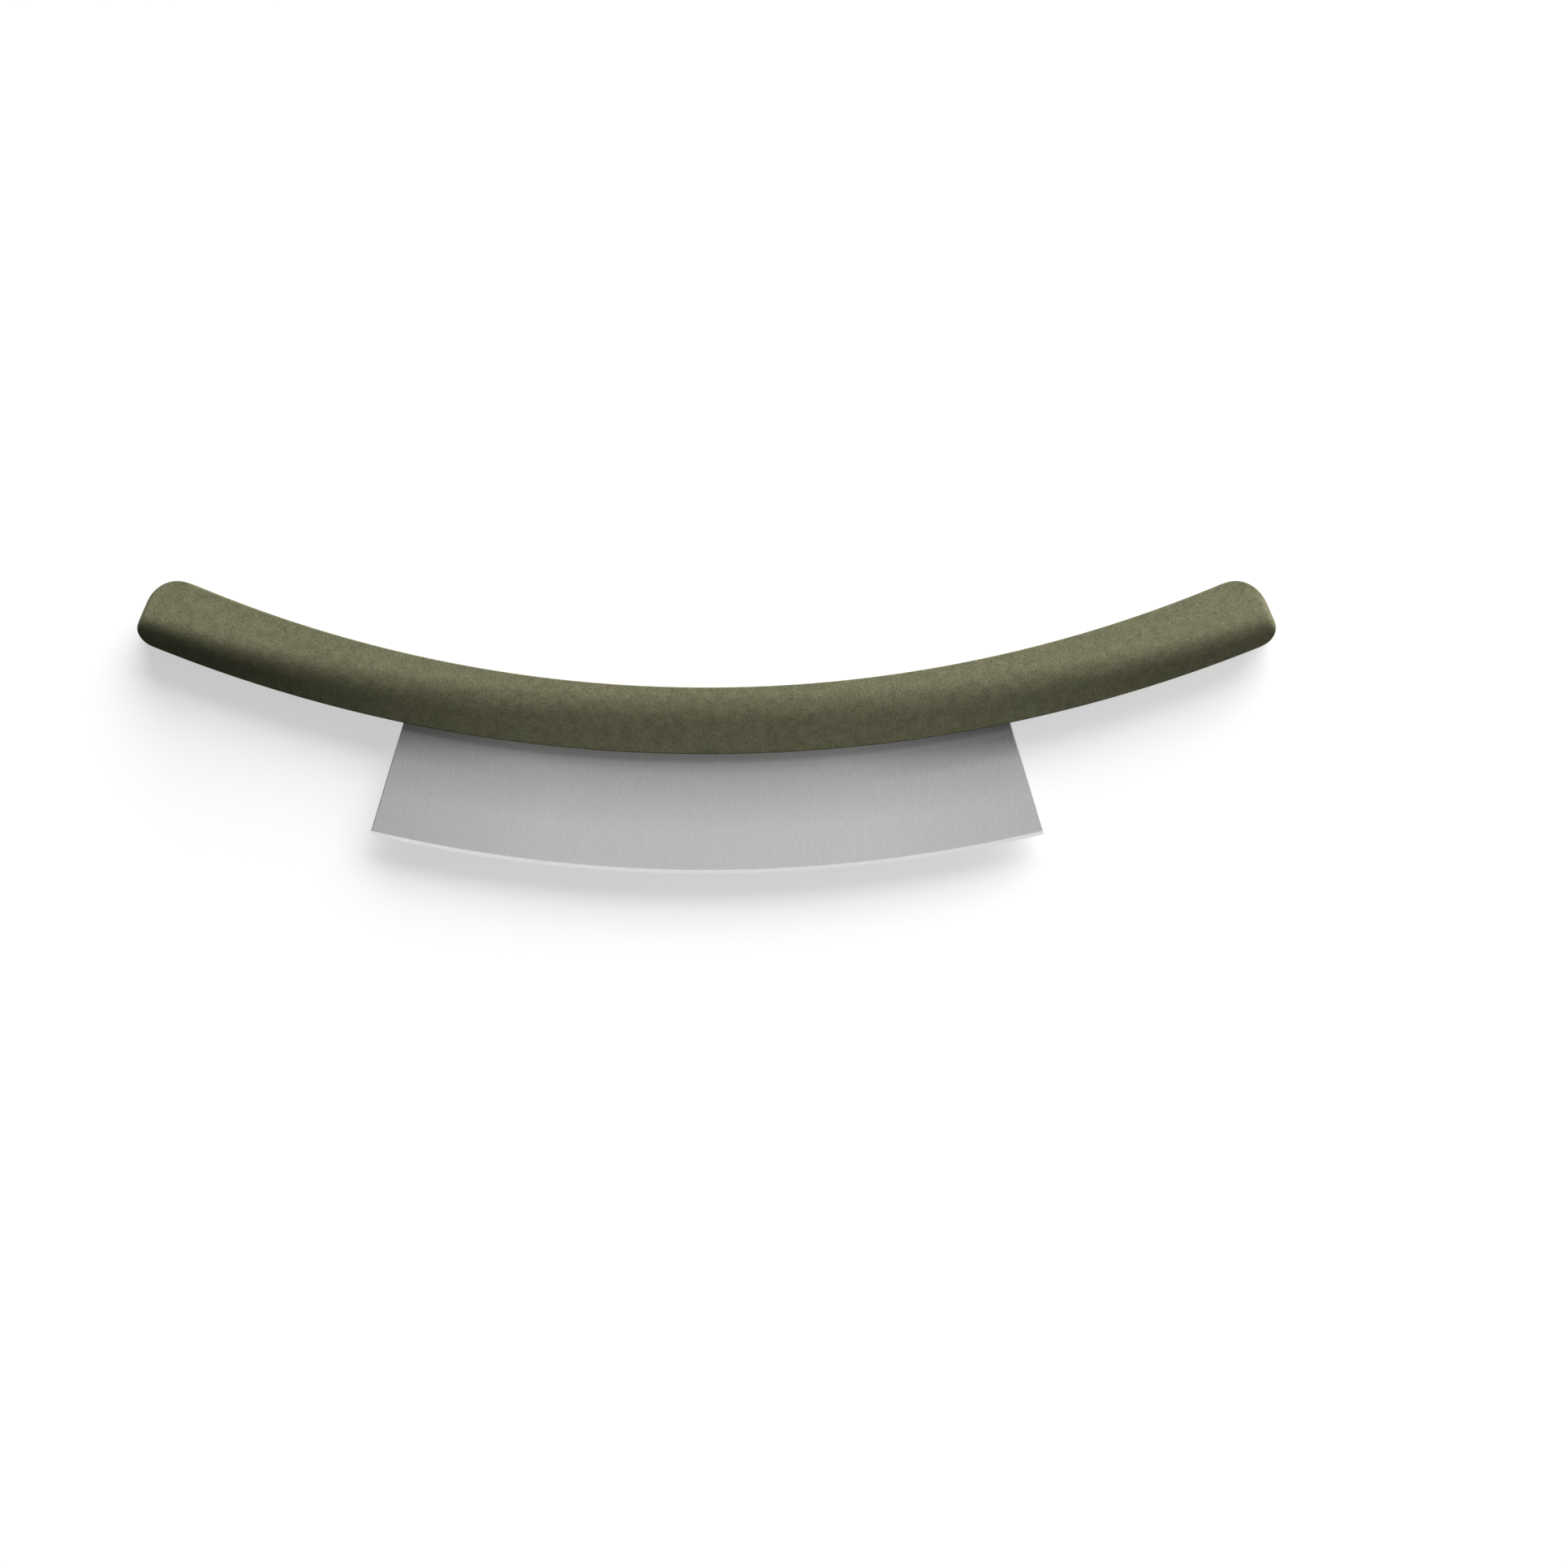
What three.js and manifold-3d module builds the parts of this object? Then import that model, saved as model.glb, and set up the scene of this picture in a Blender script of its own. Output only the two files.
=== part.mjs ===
// Mezzaluna: a bowed two-handed chopping knife.
// A curved steel blade is held by its tang between two handle scales of wood-fibre composite, which are
// kept together by blind pins. The knife lies on its rear side: X runs along the handle, Y from the cutting
// edge towards the grips, and Z up through the thickness of the blade. Sizes are in millimetres.

import * as THREE from 'three';
import { mergeVertices } from 'three/addons/utils/BufferGeometryUtils.js';
import Module from 'manifold-3d';

// Handle
const BOW_RADIUS = 458; // of the handle's centreline, bowed towards the grips
const HANDLE_LENGTH = 376; // along the centreline, tip to tip
const HANDLE_DEPTH = 22; // through both scales, at the crown
const WIDTH_MIDDLE = 21.7; // across the handle, seen from the front
const WIDTH_TIP = 24.1;
const TIP_POINT = -4; // where the tip's outermost point lies, above the centreline
const TIP_UPPER_ROUND = 12; // length over which the upper edge rounds off to the tip
const TIP_LOWER_ROUND = 7.5;
const TIP_DEPTH_ROUND = 6;
const TIP_FULLNESS = 2.35; // superellipse exponent of those rounds

// Each side of the handle is flat from its upper edge down to the crown, and then rolls over into a facet
// that falls to the lower edge. Above the blade the crown lies high and the facet is shallow. Towards the
// tips the crown sweeps down and the facet grows steep.
const CROWN_MIDDLE = 8.8; // above the centreline
const CROWN_TIP = -3.6;
const CROWN_SWEEP = 1.8; // exponent along the handle: higher keeps the crown up for longer
const ROLL_MIDDLE = 9.5; // width over which the flat turns into the facet
const ROLL_TIP = 6.5;
const FACET_MIDDLE = 0.38; // slope of the facet, depth to width
const FACET_TIP = 1.36;
const FACET_SWEEP = 2.6; // exponent along the handle: higher keeps the facet shallow for longer
const UPPER_EASE = 90; // superellipse exponents of the eased edges: higher is a tighter edge
const LOWER_EASE = 28;
const EASE_THROUGH = 2.6; // the same, through the depth

// Blade
const BLADE_THICKNESS = 1.5;
const BLADE_REACH = 39; // from the handle's lower edge down to the cutting edge, in the middle
const EDGE_RADIUS = 477; // bow of the cutting edge
const EDGE_CHORD = 220; // between the two corners of the cutting edge
const SIDE_FLARE = 16.7; // degrees by which each side leans out towards the cutting edge
const BEVEL_HEIGHT = 1.25; // of the ground strip along the cutting edge
const EDGE_LAND = 0.1; // thickness left at the cutting edge
const TANG_DEPTH = 13; // of the part of the blade inside the handle
const TANG_CORNER = 3;

// Pins
const TANG_PIN_DIAMETER = 4;
const TANG_PIN_LENGTH = 10;
const TANG_PIN_COUNT = 5;
const GRIP_DOWEL_DIAMETER = 5;
const GRIP_DOWEL_LENGTH = 13;
const DOWELS_PER_GRIP = 2;
const PIN_CHAMFER = 0.5;

// Clearances
const FIT = 0.3; // round the tang and the pins
const SEAM = 0.3; // between the two scales

// Fineness of the round surfaces
const STATION_STEP = 8; // along the handle
const TIP_STATIONS = 8;
const HALF_POINTS = 8; // from the middle of a handle section to each of its edges
const PIN_SIDES = 16;
const ARC_SEGMENTS = 10; // in a quarter of the blade's outline curves and holes
const EDGE_SIDES = 480; // in a full turn of the cutting edge's radius

const HALF_LENGTH = HANDLE_LENGTH / 2;
const HALF_DEPTH = HANDLE_DEPTH / 2;
const LOWER_EDGE = -WIDTH_MIDDLE / 2; // of the handle, in the middle
const TANG_TOP = LOWER_EDGE + TANG_DEPTH;
const EDGE_BOTTOM = LOWER_EDGE - BLADE_REACH;
const EDGE_CENTRE = EDGE_BOTTOM + EDGE_RADIUS;

const wasm = await Module();
wasm.setup();

// A closed geometry as a solid that can be cut and joined
function solid(geometry) {
  const bare = new THREE.BufferGeometry();
  bare.setAttribute('position', geometry.getAttribute('position').clone());
  if (geometry.index) {
    bare.setIndex(geometry.index.clone());
  }
  const merged = mergeVertices(bare, 1e-4);
  const corners = merged.index.array;
  const kept = [];
  for (let i = 0; i < corners.length; i += 3) {
    const [a, b, c] = corners.slice(i, i + 3);
    if (a !== b && b !== c && c !== a) {
      kept.push(a, b, c);
    }
  }
  const vertProperties = new Float32Array(merged.getAttribute('position').array);
  return new wasm.Manifold(new wasm.Mesh({ numProp: 3, vertProperties, triVerts: new Uint32Array(kept) }));
}

// The solid's surface, back as a geometry
function surface(body) {
  const { vertProperties, triVerts } = body.getMesh();
  const geometry = new THREE.BufferGeometry();
  geometry.setAttribute('position', new THREE.BufferAttribute(vertProperties, 3));
  geometry.setIndex(new THREE.BufferAttribute(triVerts, 1));
  geometry.computeVertexNormals();
  return geometry;
}

// A place on the bowed handle: along its centreline, across it towards the upper edge, and in depth
function onHandle(along, across, depth) {
  const angle = along / BOW_RADIUS;
  const radius = BOW_RADIUS - across;
  return new THREE.Vector3(radius * Math.sin(angle), BOW_RADIUS - radius * Math.cos(angle), depth);
}

// How much of the full section is left at a place along the handle, for a round of the given length
function tipRound(along, length) {
  const into = Math.max(0, Math.abs(along) - HALF_LENGTH + length) / length;
  return Math.max(0, 1 - into ** TIP_FULLNESS) ** (1 / TIP_FULLNESS);
}

// The outline of the handle's section at a place along it: points as [across, depth], from the upper edge
// over the front to the lower edge, and back over the rear. They lie closer together towards both edges.
function section(along) {
  const { lerp } = THREE.MathUtils;
  const reach = Math.abs(along) / HALF_LENGTH;
  const sweep = reach ** CROWN_SWEEP;
  const halfWidth = lerp(WIDTH_MIDDLE, WIDTH_TIP, reach ** 2) / 2;
  const fromTipPoint = (across, round) => TIP_POINT + (across - TIP_POINT) * tipRound(along, round);
  const top = fromTipPoint(halfWidth, TIP_UPPER_ROUND);
  const bottom = fromTipPoint(-halfWidth, TIP_LOWER_ROUND);
  const crown = fromTipPoint(lerp(CROWN_MIDDLE, CROWN_TIP, sweep), TIP_LOWER_ROUND);
  const roll = lerp(ROLL_MIDDLE, ROLL_TIP, sweep);
  const facet = lerp(FACET_MIDDLE, FACET_TIP, reach ** FACET_SWEEP);
  const fullness = tipRound(along, TIP_DEPTH_ROUND);
  const front = [];
  for (let i = -HALF_POINTS; i <= HALF_POINTS; i += 1) {
    const place = Math.sign(-i) * (1 - (1 - Math.abs(i) / HALF_POINTS) ** 3);
    const across = lerp(bottom, top, (place + 1) / 2);
    const below = Math.max(0, crown - across);
    const fall = below < roll ? below ** 2 / (2 * roll) : below - roll / 2;
    const ease = (1 - Math.abs(place) ** (place > 0 ? UPPER_EASE : LOWER_EASE)) ** (1 / EASE_THROUGH);
    front.push([across, fullness * ease * (HALF_DEPTH - facet * fall)]);
  }
  const rear = front.slice(1, -1).reverse().map(([across, z]) => [across, -z]);
  return [...front, ...rear];
}

// Places of the sections from the left tip to the right one, closer together in the rounded tips
function stations() {
  const grip = HALF_LENGTH - TIP_UPPER_ROUND;
  const steps = 2 * Math.ceil(grip / STATION_STEP);
  const places = [];
  for (let i = 0; i <= steps; i += 1) {
    places.push(grip * ((2 * i) / steps - 1));
  }
  for (let i = 1; i < TIP_STATIONS; i += 1) {
    const place = grip + TIP_UPPER_ROUND * Math.sin((i / TIP_STATIONS) * (Math.PI / 2));
    places.unshift(-place);
    places.push(place);
  }
  return places;
}

// The whole handle as one loft through its sections, closed by a point at each tip
function handleBody() {
  const rings = stations().map((along) => section(along).map(([across, z]) => onHandle(along, across, z)));
  const size = rings[0].length;
  const points = rings.flat();
  const leftTip = points.push(onHandle(-HALF_LENGTH, TIP_POINT, 0)) - 1;
  const rightTip = points.push(onHandle(HALF_LENGTH, TIP_POINT, 0)) - 1;
  const lastRing = (rings.length - 1) * size;
  const triangles = [];
  for (let i = 0; i < size; i += 1) {
    const next = (i + 1) % size;
    for (let start = 0; start < lastRing; start += size) {
      const beyond = start + size;
      triangles.push(start + i, start + next, beyond + i);
      triangles.push(start + next, beyond + next, beyond + i);
    }
    triangles.push(leftTip, next, i);
    triangles.push(rightTip, lastRing + i, lastRing + next);
  }
  const geometry = new THREE.BufferGeometry().setFromPoints(points);
  geometry.setIndex(triangles);
  return solid(geometry);
}

// Where a side of the blade stands at a height, with the outline grown sideways
function bladeSide(y, grow) {
  const flare = Math.tan(THREE.MathUtils.degToRad(SIDE_FLARE));
  const corner = EDGE_CENTRE - Math.sqrt(EDGE_RADIUS ** 2 - (EDGE_CHORD / 2) ** 2);
  return EDGE_CHORD / 2 - (y - corner) * flare + grow;
}

// The angle about the handle's bow at which the tang's upper edge meets the blade's side
function tangAngle(grow) {
  const radius = BOW_RADIUS - TANG_TOP - grow;
  let angle = 0;
  for (let i = 0; i < 30; i += 1) {
    angle = Math.asin(bladeSide(BOW_RADIUS - radius * Math.cos(angle), grow) / radius);
  }
  return angle;
}

// The outline of the tang from a straight lower line up to its bowed upper edge
function tangShape(bottom, grow) {
  const radius = BOW_RADIUS - TANG_TOP - grow;
  const angle = tangAngle(grow);
  const cornerX = radius * Math.sin(angle);
  const cornerY = BOW_RADIUS - radius * Math.cos(angle);
  const trimmed = angle - TANG_CORNER / radius;
  const shape = new THREE.Shape();
  shape.moveTo(-bladeSide(bottom, grow), bottom);
  shape.lineTo(bladeSide(bottom, grow), bottom);
  shape.lineTo(bladeSide(cornerY - TANG_CORNER, grow), cornerY - TANG_CORNER);
  shape.quadraticCurveTo(
    cornerX,
    cornerY,
    radius * Math.sin(trimmed),
    BOW_RADIUS - radius * Math.cos(trimmed),
  );
  shape.absarc(0, BOW_RADIUS, radius, trimmed - Math.PI / 2, -trimmed - Math.PI / 2, true);
  shape.quadraticCurveTo(-cornerX, cornerY, -bladeSide(cornerY - TANG_CORNER, grow), cornerY - TANG_CORNER);
  return shape;
}

// A flat plate of the given outline, centred on the blade's mid-plane
function plate(shape, thickness) {
  const geometry = new THREE.ExtrudeGeometry(shape, {
    depth: thickness,
    bevelEnabled: false,
    curveSegments: ARC_SEGMENTS,
  });
  geometry.translate(0, 0, -thickness / 2);
  return solid(geometry);
}

// A solid of revolution about the Z axis, from profile points as [radius, z]
function revolved(profile, sides) {
  const points = profile.map(([radius, z]) => new THREE.Vector2(radius, z));
  const geometry = new THREE.LatheGeometry(points, sides);
  geometry.rotateX(Math.PI / 2);
  return geometry;
}

function pinGeometry(diameter, length) {
  const radius = diameter / 2;
  const half = length / 2;
  const profile = [
    [0, -half],
    [radius - PIN_CHAMFER, -half],
    [radius, -half + PIN_CHAMFER],
    [radius, half - PIN_CHAMFER],
    [radius - PIN_CHAMFER, half],
    [0, half],
  ];
  return revolved(profile, PIN_SIDES);
}

// Pins: five through the tang, half way up it, and two in the free length of each grip
const tangEnd = tangAngle(0) * BOW_RADIUS;
const pins = [];
for (let i = 0; i < TANG_PIN_COUNT; i += 1) {
  pins.push({
    name: `tang_pin_${i + 1}`,
    diameter: TANG_PIN_DIAMETER,
    length: TANG_PIN_LENGTH,
    place: onHandle(tangEnd * ((2 * i + 1) / TANG_PIN_COUNT - 1), (LOWER_EDGE + TANG_TOP) / 2, 0),
  });
}
for (const side of [-1, 1]) {
  for (let i = 1; i <= DOWELS_PER_GRIP; i += 1) {
    const along = THREE.MathUtils.lerp(tangEnd, HALF_LENGTH, i / (DOWELS_PER_GRIP + 1));
    pins.push({
      name: `grip_dowel_${pins.length - TANG_PIN_COUNT + 1}`,
      diameter: GRIP_DOWEL_DIAMETER,
      length: GRIP_DOWEL_LENGTH,
      place: onHandle(side * along, 0, 0),
    });
  }
}

// Blade: the plate that shows below the handle, joined to the tang on a straight line, and ground to its
// edge by the double cone that both bevels lie on
function bladeBody() {
  const line = LOWER_EDGE - FIT;
  const below = EDGE_BOTTOM - BEVEL_HEIGHT;
  const face = new THREE.Shape();
  face.moveTo(-bladeSide(below, 0), below);
  face.lineTo(bladeSide(below, 0), below);
  face.lineTo(bladeSide(line, 0), line);
  face.lineTo(-bladeSide(line, 0), line);
  const tang = tangShape(line, 0);
  for (const pin of pins.slice(0, TANG_PIN_COUNT)) {
    const hole = new THREE.Path();
    hole.absarc(pin.place.x, pin.place.y, pin.diameter / 2 + FIT, 0, 2 * Math.PI, true);
    tang.holes.push(hole);
  }
  const bevelRise = (BLADE_THICKNESS - EDGE_LAND) / 2;
  const inner = EDGE_RADIUS - 2 * BEVEL_HEIGHT;
  const outer = EDGE_LAND / 2 + 2 * bevelRise;
  const profile = [
    [0, -outer],
    [inner, -outer],
    [EDGE_RADIUS, -EDGE_LAND / 2],
    [EDGE_RADIUS, EDGE_LAND / 2],
    [inner, outer],
    [0, outer],
  ];
  const grind = revolved(profile, EDGE_SIDES);
  grind.translate(0, EDGE_CENTRE, 0);
  return plate(face, BLADE_THICKNESS).add(plate(tang, BLADE_THICKNESS)).intersect(solid(grind));
}

// Scales: the halves of the handle on either side of the seam, with a seat for the tang and blind bores
// for the pins
function scaleBody(handle, side) {
  const room = 2 * HANDLE_LENGTH;
  const half = new THREE.BoxGeometry(room, room, HANDLE_DEPTH);
  half.translate(0, 0, side * (HALF_DEPTH + SEAM / 2));
  const seat = tangShape(LOWER_EDGE - TANG_DEPTH, FIT);
  let body = handle.intersect(solid(half)).subtract(plate(seat, BLADE_THICKNESS + 2 * FIT));
  for (const pin of pins) {
    const bore = new THREE.CylinderGeometry(
      pin.diameter / 2 + FIT,
      pin.diameter / 2 + FIT,
      pin.length + 2 * FIT,
      PIN_SIDES,
    );
    bore.rotateX(Math.PI / 2);
    bore.translate(pin.place.x, pin.place.y, 0);
    body = body.subtract(solid(bore));
  }
  return body;
}

const composite = new THREE.MeshStandardMaterial({ color: 0x74735b, roughness: 0.62, metalness: 0 });
const bladeSteel = new THREE.MeshStandardMaterial({ color: 0xb9b9b8, roughness: 0.34, metalness: 1 });
const pinSteel = new THREE.MeshStandardMaterial({ color: 0xa7a8aa, roughness: 0.28, metalness: 1 });

const mezzaluna = new THREE.Group();

function addPiece(name, geometry, material) {
  const mesh = new THREE.Mesh(geometry, material);
  mesh.name = name;
  mezzaluna.add(mesh);
  return mesh;
}

const handle = handleBody();
addPiece('blade', surface(bladeBody()), bladeSteel);
addPiece('front_handle_scale', surface(scaleBody(handle, 1)), composite);
addPiece('rear_handle_scale', surface(scaleBody(handle, -1)), composite);
for (const pin of pins) {
  addPiece(pin.name, pinGeometry(pin.diameter, pin.length), pinSteel).position.copy(pin.place);
}

// The origin lies under the middle of the knife, on the surface that it rests on
const box = new THREE.Box3().setFromObject(mezzaluna);
mezzaluna.position.set(0, -(box.min.y + box.max.y) / 2, -box.min.z);
mezzaluna.updateMatrixWorld(true);

export default mezzaluna;
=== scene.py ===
import math

import bmesh
import bpy
from bpy.props import FloatProperty, FloatVectorProperty, IntProperty, PointerProperty
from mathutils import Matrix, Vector


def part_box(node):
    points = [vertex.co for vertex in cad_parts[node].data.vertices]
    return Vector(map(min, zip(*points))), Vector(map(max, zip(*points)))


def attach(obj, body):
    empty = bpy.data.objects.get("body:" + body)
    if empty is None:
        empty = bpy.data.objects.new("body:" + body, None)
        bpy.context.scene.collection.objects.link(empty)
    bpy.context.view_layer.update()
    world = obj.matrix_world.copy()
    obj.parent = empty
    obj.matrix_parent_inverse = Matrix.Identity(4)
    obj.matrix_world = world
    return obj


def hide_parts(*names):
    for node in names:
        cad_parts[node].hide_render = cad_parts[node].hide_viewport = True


bl_info = {
    "name": "Mezzaluna",
    "version": (1, 0, 0),
    "blender": (4, 5, 0),
    "location": "3D View > Sidebar > Mezzaluna",
    "description": "Models a bowed two-handed chopping knife: two handle scales, the blade and its pins",
    "category": "Add Mesh",
}

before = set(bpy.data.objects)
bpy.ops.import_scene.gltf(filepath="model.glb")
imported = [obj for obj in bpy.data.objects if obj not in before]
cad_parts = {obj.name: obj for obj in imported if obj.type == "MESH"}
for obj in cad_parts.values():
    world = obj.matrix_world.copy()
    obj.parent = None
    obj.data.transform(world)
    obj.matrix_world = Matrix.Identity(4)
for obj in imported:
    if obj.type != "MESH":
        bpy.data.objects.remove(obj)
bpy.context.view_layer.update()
BLADE_LOW, BLADE_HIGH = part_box("blade")
HANDLE_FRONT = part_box("front_handle_scale")[1].z
HANDLE_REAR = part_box("rear_handle_scale")[0].z
MID_PLANE = (BLADE_LOW.z + BLADE_HIGH.z) / 2
PIN_NODES = sorted(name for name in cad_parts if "pin_" in name or "dowel_" in name)
TANG_PIN_NODES = [name for name in PIN_NODES if name.startswith("tang_")]

# Fineness of the meshes
MERGE_DISTANCE = 1e-6
MIRROR_MERGE_DISTANCE = 1e-7
EDGE_CROWDING = 3  # exponent that crowds a section's points towards its edges
RIM_SHARE = 1 / 12  # of the handle's depth, the most that a rim's round takes at the tips
SEAT_ROUNDS = 20  # of the search for the end of the blade's seat
BORE_SIDES = 48
FLOOR_SIDES = 96
HANDLE_SMOOTH = math.radians(32)  # edges that turn by less are shaded smooth
BLADE_SMOOTH = math.radians(12)

# Cut sides of the blade: how far their faces turn to the side, and how wide a band they lie in
SIDE_FACING = 0.3
SIDE_BAND = 0.001

# Tooling lines per metre along X, Y and Z
BLADE_LINES = (3000.0, 360.0, 360.0)
BEVEL_LINES = (2600.0, 400.0, 400.0)
SIDE_LINES = (400.0, 400.0, 3000.0)
PIN_LINES = (2200.0, 2200.0, 120.0)

# Steel: what the single lines and the bands add to the tone, and how much the lines change the gloss
LINE_SHARE = 0.8
BAND_SHARE = 0.2
GLOSS_SPREAD = 0.05

# Composite: factors of the tone and the roughness from the hollows of the grain to its tops
GRAIN_TONE = (0.72, 1.28)
GRAIN_ROUGHNESS = (0.72, 0.58)
MOTTLE_TONE = (0.87, 1.13)

# Flecks: how strongly they show, how soft the pick among their cells is, and where in a cell one ends
DARK_FLECKS = 0.60
PALE_FLECKS = 0.28
FLECK_SOFTNESS = 0.08
FLECK_EDGE = (0.22, 0.5)

# Values of a noise pattern that are spread from none to full
NOISE_RANGE = (0.3, 0.7)
CLOUD_RANGE = (0.38, 0.68)

FLOOR_UNEVENNESS = 0.005


# Properties


def length(name, description, default):
    return FloatProperty(name=name, description=description, default=default, unit='LENGTH', precision=5)


def number(name, description, default):
    return FloatProperty(name=name, description=description, default=default, precision=3)


def angle(name, description, degrees):
    return FloatProperty(
        name=name, description=description, default=math.radians(degrees), subtype='ANGLE'
    )


def count(name, description, default):
    return IntProperty(name=name, description=description, default=default, min=1)


def share(name, description, default):
    return FloatProperty(
        name=name, description=description, default=default, min=0.0, max=1.0, subtype='FACTOR'
    )


def tint(name, description, default):
    return FloatVectorProperty(
        name=name, description=description, default=default, size=3, min=0.0, max=1.0, subtype='COLOR'
    )


class HandleSizes(bpy.types.PropertyGroup):
    """Sizes of the bowed handle and of the two scales that it is made of"""

    bow_radius: length("Bow radius", "Radius of the handle's centreline", 0.458)
    length: length("Length", "Along the centreline, from tip to tip", 0.376)
    depth: length("Depth", "Through both scales, at the crown", HANDLE_FRONT - HANDLE_REAR)
    width_middle: length("Width in the middle", "Across the handle above the blade", 0.0217)
    width_tip: length("Width at the tips", "Across the handle at its ends", 0.0241)
    tip_point: length("Tip point", "Where the outermost point of a tip lies, above the centreline", -0.004)
    tip_upper_round: length("Upper tip round", "Length over which the upper edge rounds off", 0.012)
    tip_lower_round: length("Lower tip round", "Length over which the lower edge rounds off", 0.0075)
    tip_depth_round: length("Tip depth round", "Length over which the depth rounds off", 0.0022)
    tip_fullness: number("Tip fullness", "Superellipse exponent of the tip's rounds", 2.35)
    crown_middle: length("Crown in the middle", "Where a side's flat ends, above the centreline", 0.0088)
    crown_tip: length("Crown at the tips", "Where a side's flat ends, above the centreline", -0.0036)
    crown_sweep: number("Crown sweep", "Exponent along the handle: higher keeps it up for longer", 1.8)
    roll_middle: length("Roll in the middle", "Width over which the flat turns into the facet", 0.0095)
    roll_tip: length("Roll at the tips", "Width over which the flat turns into the facet", 0.0065)
    facet_middle: number("Facet in the middle", "Slope of the facet below the roll", 0.43)
    facet_tip: number("Facet at the tips", "Slope of the facet below the roll", 1.36)
    facet_sweep: number("Facet sweep", "Exponent along the handle: higher keeps it shallow longer", 2.6)
    upper_ease: number("Upper ease", "Superellipse exponent: higher is a tighter edge", 400.0)
    lower_ease: number("Lower ease", "Superellipse exponent: higher is a tighter edge", 400.0)
    ease_through: number("Ease through", "Superellipse exponent of the edges, through the depth", 2.6)
    joint_gap: length("Joint gap", "Between the two scales", 0.00012)
    rim_round: length("Rim round", "Eased edge where a scale meets its neighbour", 0.00022)
    station_step: length("Station step", "Between two sections along the grips", 0.004)
    tip_stations: count("Tip stations", "Sections in each rounded tip", 14)
    half_points: count("Half points", "Points between the middle of a section and each edge", 16)


class BladeSizes(bpy.types.PropertyGroup):
    """Sizes of the blade, its ground edge and its tang"""

    thickness: length("Thickness", "Of the steel plate", BLADE_HIGH.z - BLADE_LOW.z)
    reach: length("Reach", "From the handle down to the cutting edge, in the middle", 0.039)
    edge_radius: length("Edge radius", "Bow of the cutting edge", 0.477)
    edge_chord: length("Edge chord", "Between the corners of the edge", BLADE_HIGH.x - BLADE_LOW.x)
    side_flare: angle("Side flare", "Lean of each side out towards the cutting edge", 16.7)
    bevel_height: length("Bevel height", "Of the ground strip along the cutting edge", 0.00125)
    edge_land: length("Edge land", "Thickness left at the cutting edge", 0.0001)
    tang_depth: length("Tang depth", "Of the part of the blade inside the handle", 0.013)
    fit: length("Fit", "Room round the tang and the pins", 0.0003)
    seat_gap: length("Seat gap", "Between the blade's face and the handle's rim", 0.00006)
    side_ease: length("Side ease", "Deburred corner along the sides", 0.0003)
    arc_steps: count("Arc steps", "Steps along the cutting edge", 160)
    # Painted shade: the brushed face is painted darker from the handle down to the next height, where the
    # handle's shadow falls on the blade; the tone is that of the painted shade right at the handle
    painted_shade_start: length("Dull start", "Below the handle, where the brushing starts to come up", 0.00833)
    painted_shade_end: length("Dull height", "Below the handle, where the brushing is full", 0.025)
    painted_shade_tone: share("Dull tone", "Of the brushed face at the handle", 0.77)
    # Painted shade: the face is painted darker towards both sides, where the brushed steel's reflection
    # falls off, and most at the sides just below the handle, leaning to the right, where the handle's
    # shadow reaches further
    painted_shade_width: length("Dull width", "Of the face at each side on which the brushing fades", 0.058)
    painted_side_shade: share("Dull side", "Tone lost at the sides", 0.16)
    painted_corner_shadow: share("Dull corner", "Tone lost besides, at the sides under the handle", 0.5)
    corner_shadow_start: length("Corner start", "Below the handle, where that loss starts to fade", 0.005)
    corner_shadow_end: length("Corner height", "Below the handle, where that loss ends", 0.0125)
    painted_shadow_shift: length("Dull shift", "How far the dulling under the handle leans to the right", 0.009)
    # Painted light: a strip right at the handle is painted lighter, to lift the darkest of the handle's
    # shadow
    painted_light_height: length("Strip height", "Of the strip at the handle that keeps its mill finish", 0.0045)
    painted_light_gain: number("Strip tone", "Gain of that strip, right at the handle", 1.62)


class Finishes(bpy.types.PropertyGroup):
    """Colours of the composite and of the steels"""

    olive: tint("Olive", "Composite, the common tone", (0.163, 0.165, 0.098))
    olive_warm: tint("Warm olive", "Composite, the browner clouds", (0.178, 0.171, 0.105))
    fibre_dark: tint("Dark fibre", "Fine dark specks", (0.050, 0.052, 0.030))
    fibre_light: tint("Light fibre", "Fine pale specks", (0.300, 0.285, 0.190))
    blade_dark: tint("Blade, dark lines", "Brushed face of the blade", (0.43, 0.43, 0.43))
    blade_light: tint("Blade, light lines", "Brushed face of the blade", (0.49, 0.49, 0.49))
    bevel_dark: tint("Bevel, dark lines", "Ground strip along the edge", (0.590, 0.590, 0.590))
    bevel_light: tint("Bevel, light lines", "Ground strip along the edge", (0.640, 0.640, 0.640))
    # Painted shade: the cut sides are toned far darker than the steel of the faces, to draw the dark line
    # that shows along each side
    side_dark: tint("Side, dark lines", "Cut sides of the blade", (0.19, 0.19, 0.19))
    side_light: tint("Side, light lines", "Cut sides of the blade", (0.27, 0.27, 0.27))
    pin_dark: tint("Pin, dark lines", "Drawn steel", (0.430, 0.435, 0.445))
    pin_light: tint("Pin, light lines", "Drawn steel", (0.620, 0.625, 0.630))


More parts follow.
